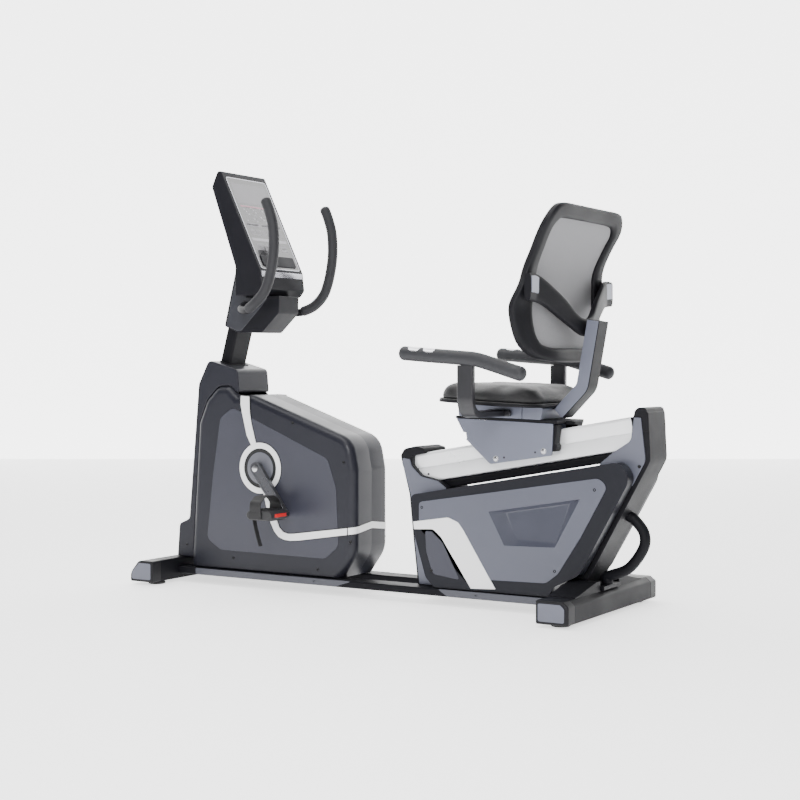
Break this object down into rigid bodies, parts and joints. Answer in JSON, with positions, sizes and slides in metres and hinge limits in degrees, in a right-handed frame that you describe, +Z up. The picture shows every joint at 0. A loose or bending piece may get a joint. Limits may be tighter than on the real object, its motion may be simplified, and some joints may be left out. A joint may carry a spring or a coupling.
{
  "type": "recumbent exercise bike",
  "caption": "Recumbent exercise bike: enclosed crank and flywheel unit, console mast with horn bars, and a mesh-backed seat sliding on a sloped rail.",
  "frame": {"origin": "centre of the overall box at floor height", "axes": "+X from the pedal unit towards the seat, the rider's left is -Y, +Z up"},
  "size_m": [1.7401, 0.636, 1.3454],
  "materials": {
    "base_black": "satin powder coat, near black",
    "end_cap_grey": "satin slate grey moulding",
    "foot_rubber": "matt black rubber",
    "housing_grey": "satin dark slate grey ABS",
    "white_trim": "glossy white inlay",
    "silver_panel": "silver grey metallic paint",
    "black_plastic": "fine textured black nylon",
    "screen_glass": "smoked gloss display panel",
    "rail_aluminium": "bright extruded aluminium",
    "machined_steel": "machined and blackened steel",
    "flywheel_iron": "turned cast iron",
    "belt_rubber": "ribbed rubber",
    "foam_grip": "closed cell foam",
    "seat_leather": "black grained vinyl",
    "back_mesh": "grey woven mesh"
  },
  "bodies": {
    "base": {"base_beam_left": "base_black", "base_beam_right": "base_black", "console_housing": "black_plastic", "console_mast": "base_black", "console_screen": "screen_glass", "drive_belt": "belt_rubber", "front_cover": "housing_grey", "front_end_cap_left": "end_cap_grey", "front_end_cap_right": "end_cap_grey", "front_foot_bar": "base_black", "front_foot_left": "foot_rubber", "front_foot_right": "foot_rubber", "front_frame": "base_black", "front_shell_left": "housing_grey", "front_shell_right": "housing_grey", "front_trim_left": "white_trim", "front_trim_right": "white_trim", "handlebar": "base_black", "handlebar_grip_left": "foam_grip", "handlebar_grip_right": "foam_grip", "lift_handle": "base_black", "mast_cover": "silver_panel", "rail_front_bracket": "silver_panel", "rail_support": "base_black", "rear_end_cap_left": "end_cap_grey", "rear_end_cap_right": "end_cap_grey", "rear_foot_bar": "base_black", "rear_foot_left": "foot_rubber", "rear_foot_right": "foot_rubber", "rear_post": "silver_panel", "rear_shell_left": "housing_grey", "rear_shell_right": "housing_grey", "rear_trim_left": "white_trim", "rear_trim_right": "white_trim", "seat_rail": "rail_aluminium"},
    "crank": {"crank_axle": "machined_steel", "drive_pulley": "black_plastic", "crank_arm_left": "machined_steel", "crank_arm_right": "machined_steel"},
    "pedal_left": {"pedal_left": "black_plastic", "pedal_strap_left": "belt_rubber"},
    "pedal_right": {"pedal_right": "black_plastic", "pedal_strap_right": "belt_rubber"},
    "flywheel": {"flywheel": "flywheel_iron"},
    "transport_wheel_left": {"transport_wheel_left": "foot_rubber"},
    "transport_wheel_right": {"transport_wheel_right": "foot_rubber"},
    "seat": {"seat_carriage": "silver_panel", "seat_base": "silver_panel", "seat_cushion": "seat_leather", "armrest_bracket_left": "base_black", "armrest_bracket_right": "base_black", "armrest_left": "foam_grip", "armrest_right": "foam_grip", "back_post": "silver_panel", "back_brace": "black_plastic", "back_frame": "black_plastic", "back_mesh": "back_mesh"},
    "seat_lever": {"seat_lever": "machined_steel"},
    "lock_shoe": {"lock_shoe": "black_plastic"}
  },
  "joints": [
    {"name": "crank_spin", "type": "hinge", "parent": "base", "child": "crank", "pos_m": [-0.45, 0, 0.386], "axis": [0, 1, 0], "continuous": true},
    {"name": "flywheel_spin", "type": "hinge", "parent": "base", "child": "flywheel", "pos_m": [-0.232, 0, 0.27], "axis": [0, 1, 0], "continuous": true},
    {"name": "pedal_left_spin", "type": "hinge", "parent": "crank", "child": "pedal_left", "pos_m": [-0.34769, 0, 0.25023], "axis": [0, 1, 0], "continuous": true},
    {"name": "pedal_right_spin", "type": "hinge", "parent": "crank", "child": "pedal_right", "pos_m": [-0.55231, 0, 0.52177], "axis": [0, 1, 0], "continuous": true},
    {"name": "seat_slide", "type": "slide", "parent": "base", "child": "seat", "axis": [0.9843, 0, 0.1762], "range_m": [-0.1, 0.15]},
    {"name": "seat_lever_lift", "type": "hinge", "parent": "seat", "child": "seat_lever", "pos_m": [0.36, 0, 0.527], "axis": [0, 1, 0], "range_deg": [0, 18], "stiffness_Nm_per_rad": 1, "springref_deg": -17.19},
    {"name": "shoe_lift", "type": "slide", "parent": "seat", "child": "lock_shoe", "axis": [-0.1762, 0, 0.9843], "range_m": [0, 0.0045]},
    {"name": "transport_wheel_left_spin", "type": "hinge", "parent": "base", "child": "transport_wheel_left", "pos_m": [-0.841, 0, 0.028], "axis": [0, 1, 0], "continuous": true},
    {"name": "transport_wheel_right_spin", "type": "hinge", "parent": "base", "child": "transport_wheel_right", "pos_m": [-0.841, 0, 0.028], "axis": [0, 1, 0], "continuous": true}
  ],
  "couplings": [
    {"joint": "crank_spin", "follows": "flywheel_spin", "ratio": 0.21735},
    {"joint": "shoe_lift", "follows": "seat_lever_lift", "m_per_rad": 0.01273}
  ]
}
